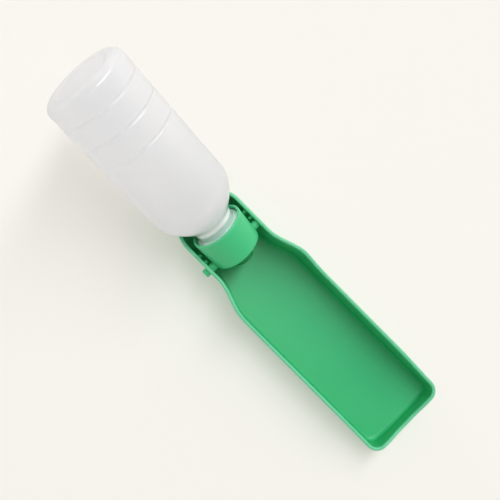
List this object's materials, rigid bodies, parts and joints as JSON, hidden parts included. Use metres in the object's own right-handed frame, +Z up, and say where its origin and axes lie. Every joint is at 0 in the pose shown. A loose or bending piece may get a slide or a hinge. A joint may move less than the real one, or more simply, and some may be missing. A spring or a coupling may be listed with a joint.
{
  "type": "travel pet water bottle",
  "caption": "Squeeze water bottle for dogs whose screw cap is pinned in the waist of a drinking trough, so the bottle folds flat into it.",
  "frame": {"origin": "middle of the trough's flat underside, on the surface it stands on", "axes": "+X along the trough to its drinking end, +Y to the side of the short pin, +Z up"},
  "size_m": [0.3215, 0.064, 0.127],
  "materials": {
    "green_plastic": "satin",
    "bottle_plastic": "milky, see-through",
    "nozzle_plastic": "satin",
    "white_silicone": "matt"
  },
  "bodies": {
    "trough": {"trough": "green_plastic"},
    "cap": {"cap": "green_plastic", "nozzle": "nozzle_plastic", "neck_gasket": "white_silicone", "outlet_valve": "white_silicone"},
    "bottle": {"bottle": "bottle_plastic"}
  },
  "joints": [
    {"name": "fold", "type": "hinge", "parent": "trough", "child": "cap", "pos_m": [-0.0653, 0, 0.0318], "axis": [0, 1, 0], "range_deg": [0, 152]},
    {"name": "bottle_off", "type": "slide", "parent": "cap", "child": "bottle", "axis": [-0.8829, 0, 0.4695], "range_m": [0, 0.0192]}
  ]
}
